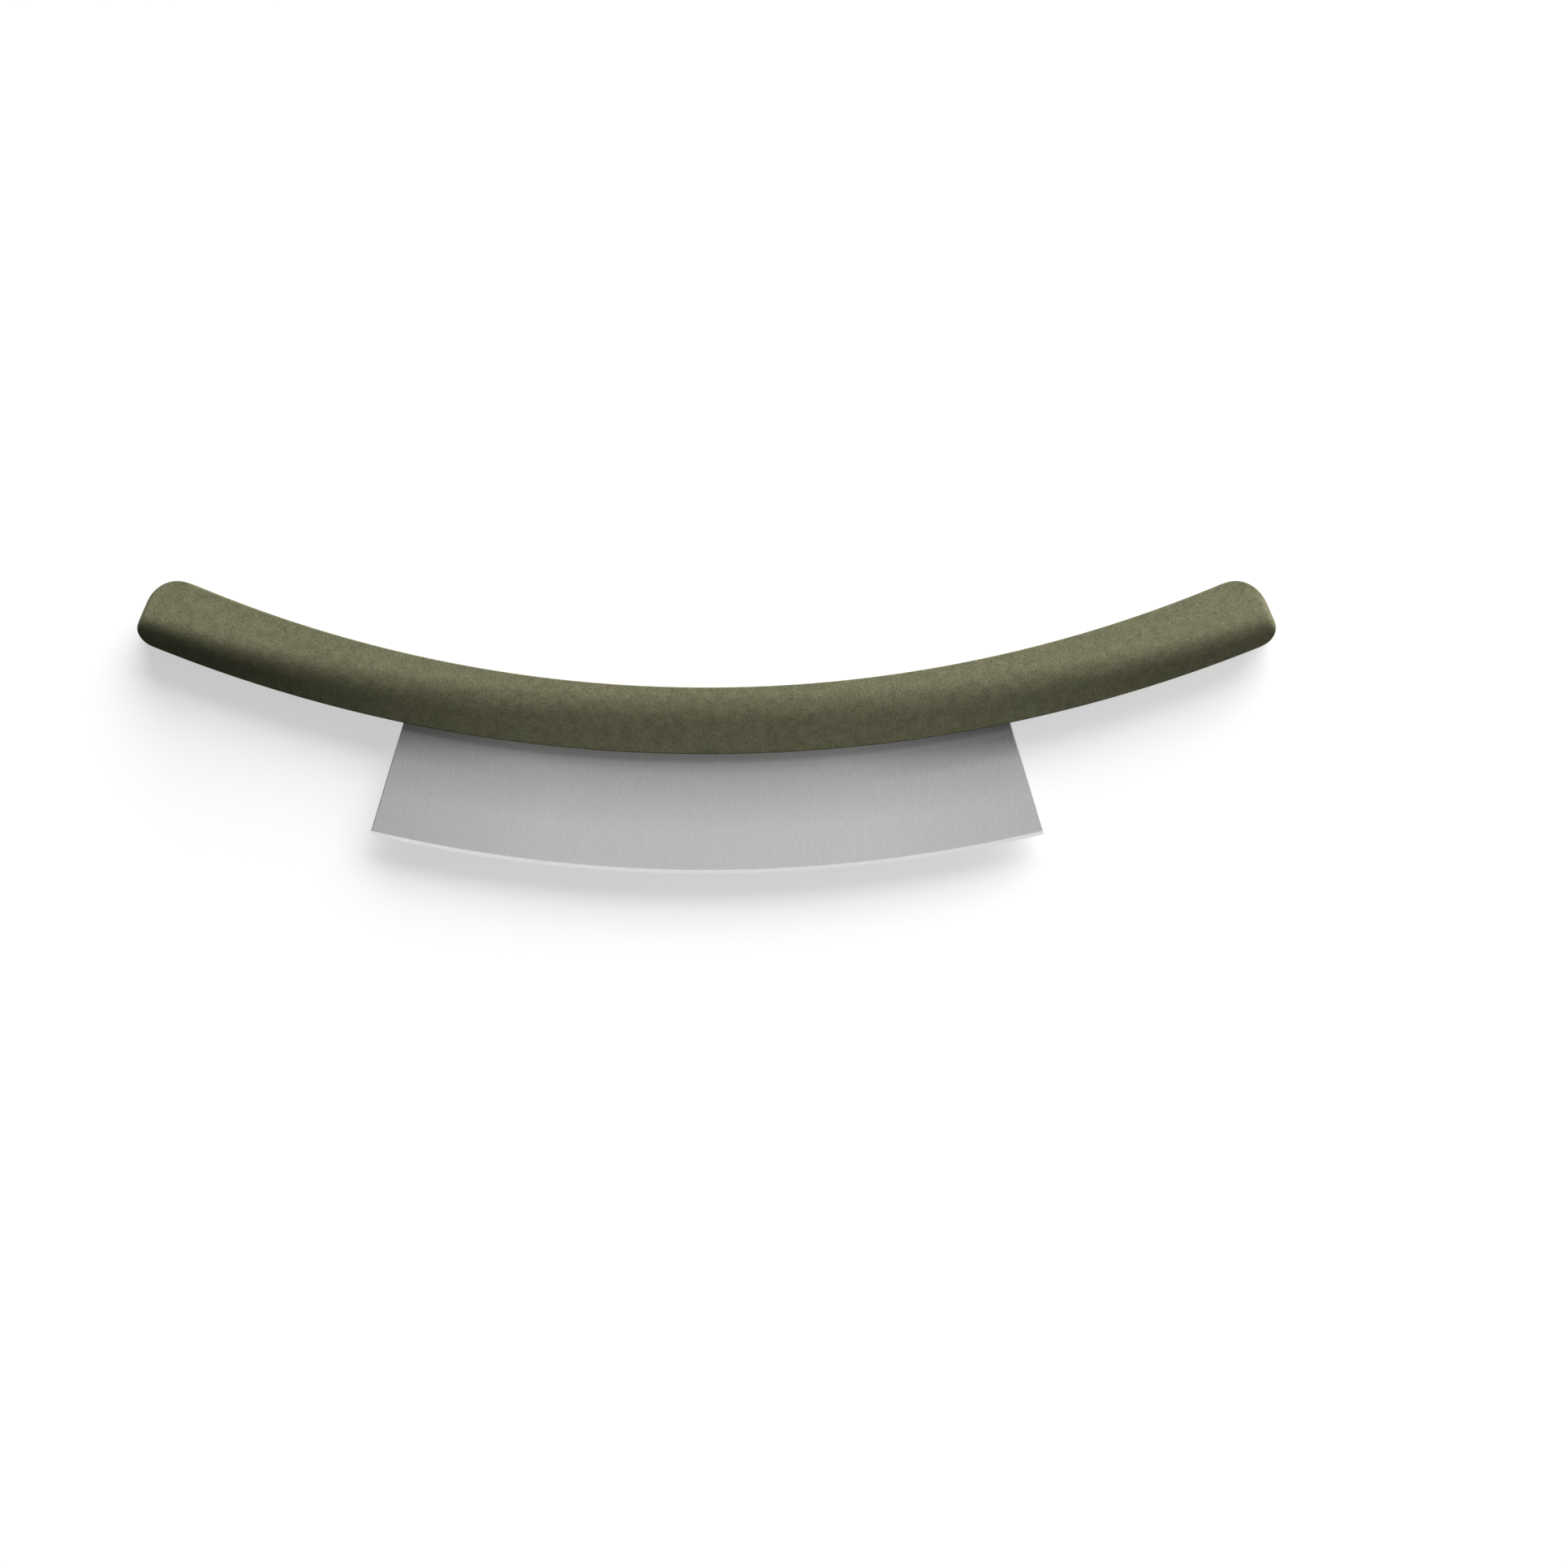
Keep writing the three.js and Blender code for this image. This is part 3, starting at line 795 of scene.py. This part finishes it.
def soft_room(studio):
    """White to the camera. Metal sees a bright wall before the cutting edge, a dimmer one beyond the grips
    and a dark ceiling, and matt surfaces get a low even level."""
    world = bpy.data.worlds.new("soft_room")
    world.use_nodes = True
    tree = world.node_tree
    tree.nodes.clear()
    path = add_node(tree, "ShaderNodeLightPath").outputs
    place = add_node(tree, "ShaderNodeTexCoord").outputs["Generated"]
    direction = add_node(tree, "ShaderNodeSeparateXYZ", Vector=place).outputs
    near = studio.wall_near_y
    far = studio.wall_far_y
    wall = remap(tree, direction["Y"], near, far, studio.near_wall, studio.far_wall)
    top = math.sin(studio.wall_top)
    edge = math.sin(studio.ceiling_edge)
    low = remap(tree, direction["Z"], edge, top, 0.0, 1.0)
    walls = calculate(tree, 'MAXIMUM', calculate(tree, 'MULTIPLY', low, wall), studio.ceiling)
    mirrored = calculate(tree, 'MAXIMUM', path["Is Glossy Ray"], path["Is Transmission Ray"])
    level = calculate(tree, 'MAXIMUM', calculate(tree, 'MULTIPLY', mirrored, walls), studio.ambient)
    level = calculate(tree, 'MAXIMUM', level, path["Is Camera Ray"])
    sky = add_node(tree, "ShaderNodeBackground", Color=grey(1.0), Strength=level)
    add_node(tree, "ShaderNodeOutputWorld", Surface=sky.outputs[0])
    bpy.context.scene.world = world


# Operators


class MEZZALUNA_OT_handle_scales(bpy.types.Operator):
    """Model the front handle scale, and the rear one as its mirrored copy"""

    bl_idname = "mezzaluna.handle_scales"
    bl_label = "Handle scales"

    def execute(self, context):
        handle, blade = sizes()
        composite = fibre_composite(context.scene.mezzaluna_finishes)
        front = loft_scale(handle, blade)
        cutter = pin_cutter(PIN_NODES, blade.fit)
        bore(front, cutter)
        bpy.data.objects.remove(cutter)
        take(front)
        bpy.ops.object.duplicate()
        rear = context.object
        bpy.ops.object.mode_set(mode='EDIT')
        bpy.ops.mesh.select_all(action='SELECT')
        bpy.ops.transform.resize(value=(1, 1, -1), center_override=(0, 0, MID_PLANE))
        close_up(rear, MIRROR_MERGE_DISTANCE)
        finish_piece(
            front, "front_scale", "front_handle_scale", [composite], HANDLE_SMOOTH
        )
        finish_piece(
            rear, "rear_scale", "rear_handle_scale", [composite], HANDLE_SMOOTH
        )
        return {'FINISHED'}


class MEZZALUNA_OT_blade(bpy.types.Operator):
    """Model the blade with its flared sides, ground edge and drilled tang"""

    bl_idname = "mezzaluna.blade"
    bl_label = "Blade"

    def execute(self, context):
        handle, blade = sizes()
        finishes = context.scene.mezzaluna_finishes
        brushed = lined_steel(
            "brushed_steel_painted_shade", finishes.blade_dark, finishes.blade_light, BLADE_LINES,
            roughness=0.62, metallic=0.6,
        )
        # Painted shade and painted light on the brushed face, near the handle and towards the sides
        paint_shade_on_blade(brushed, handle, blade)
        ground = lined_steel(
            "ground_bevel_steel", finishes.bevel_dark, finishes.bevel_light, BEVEL_LINES, roughness=0.32
        )
        # Painted shade: the cut sides take a dark tone for the dark line along each side of the blade
        cut = lined_steel(
            "cut_side_painted_shade_steel", finishes.side_dark, finishes.side_light, SIDE_LINES, roughness=0.5
        )
        steels = [brushed, ground, cut]
        piece = model_blade(handle, blade)
        cutter = pin_cutter(TANG_PIN_NODES, blade.fit)
        bore(piece, cutter)
        bpy.data.objects.remove(cutter)
        finish_piece(piece, "blade_plate", "blade", steels, BLADE_SMOOTH)
        centre = Vector((0, edge_centre(blade)))
        for face in piece.data.polygons:
            side = blade_side(blade, face.center.y) - SIDE_BAND
            if (face.center.xy - centre).length > blade.edge_radius - blade.bevel_height:
                face.material_index = steels.index(ground)
            # Faces on the cut sides get the dark steel, whose tone is painted shade
            elif abs(face.normal.x) > SIDE_FACING and abs(face.center.x) > side:
                face.material_index = steels.index(cut)
        return {'FINISHED'}


class MEZZALUNA_OT_pins(bpy.types.Operator):
    """Give the blind pins their drawn steel"""

    bl_idname = "mezzaluna.pins"
    bl_label = "Blind pins"

    def execute(self, context):
        finishes = context.scene.mezzaluna_finishes
        drawn = lined_steel(
            "drawn_pin_steel", finishes.pin_dark, finishes.pin_light, PIN_LINES, roughness=0.30
        )
        for name in PIN_NODES:
            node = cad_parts[name]
            if not node.material_slots:
                node.data.materials.append(drawn)
            node.material_slots[0].material = drawn
        return {'FINISHED'}


class MEZZALUNA_OT_studio(bpy.types.Operator):
    """Set up the pale floor, the soft light and the camera that looks straight down"""

    bl_idname = "mezzaluna.studio"
    bl_label = "Studio"

    def execute(self, context):
        scene = context.scene
        studio = scene.mezzaluna_studio
        scene.view_settings.view_transform = 'Standard'
        soft_room(studio)
        start_afresh()
        bpy.ops.mesh.primitive_circle_add(
            vertices=FLOOR_SIDES, radius=studio.floor_radius, fill_type='NGON'
        )
        floor = context.object
        floor.name = "floor"
        floor.data.materials.append(pale_floor(studio))

        # The key shines down from beyond the grips, turned towards the right
        start_afresh()
        bpy.ops.object.light_add(type='SUN')
        key = context.object
        key.name = "key"
        key.data.energy = studio.key_strength
        key.data.angle = studio.key_softness
        level = math.cos(studio.key_height)
        source = Vector((
            math.sin(studio.key_turn) * level,
            math.cos(studio.key_turn) * level,
            math.sin(studio.key_height),
        ))
        key.rotation_euler = source.to_track_quat('Z', 'Y').to_euler()
        key.location = source

        start_afresh()
        bpy.ops.object.light_add(type='AREA', location=studio.side_place)
        side = context.object
        side.name = "side"
        side.data.energy = studio.side_power
        side.data.size = studio.side_size
        side.rotation_euler = side.location.to_track_quat('Z', 'Y').to_euler()

        start_afresh()
        height = MID_PLANE + studio.frame_width * studio.lens / studio.sensor
        bpy.ops.object.camera_add(location=(studio.aim_x, studio.aim_y, height), rotation=(0, 0, 0))
        camera = context.object
        camera.data.sensor_width = studio.sensor
        camera.data.lens = studio.lens
        camera.data.clip_end = studio.view_depth
        scene.camera = camera
        return {'FINISHED'}


class MEZZALUNA_PT_pieces(bpy.types.Panel):
    """Lists the pieces of the knife and the studio"""

    bl_idname = "MEZZALUNA_PT_pieces"
    bl_label = "Mezzaluna"
    bl_space_type = 'VIEW_3D'
    bl_region_type = 'UI'
    bl_category = "Mezzaluna"

    def draw(self, context):
        for operator in OPERATORS:
            self.layout.operator(operator.bl_idname)


OPERATORS = (MEZZALUNA_OT_handle_scales, MEZZALUNA_OT_blade, MEZZALUNA_OT_pins, MEZZALUNA_OT_studio)
CLASSES = (HandleSizes, BladeSizes, Finishes, StudioSizes, *OPERATORS, MEZZALUNA_PT_pieces)


def register():
    for cls in CLASSES:
        bpy.utils.register_class(cls)
    scene = bpy.types.Scene
    scene.mezzaluna_handle = PointerProperty(type=HandleSizes)
    scene.mezzaluna_blade = PointerProperty(type=BladeSizes)
    scene.mezzaluna_finishes = PointerProperty(type=Finishes)
    scene.mezzaluna_studio = PointerProperty(type=StudioSizes)


def unregister():
    scene = bpy.types.Scene
    del scene.mezzaluna_studio
    del scene.mezzaluna_finishes
    del scene.mezzaluna_blade
    del scene.mezzaluna_handle
    for cls in reversed(CLASSES):
        bpy.utils.unregister_class(cls)


def main():
    register()
    bpy.ops.mezzaluna.studio()
    bpy.ops.mezzaluna.handle_scales()
    bpy.ops.mezzaluna.blade()
    bpy.ops.mezzaluna.pins()


if __name__ == "__main__":
    main()
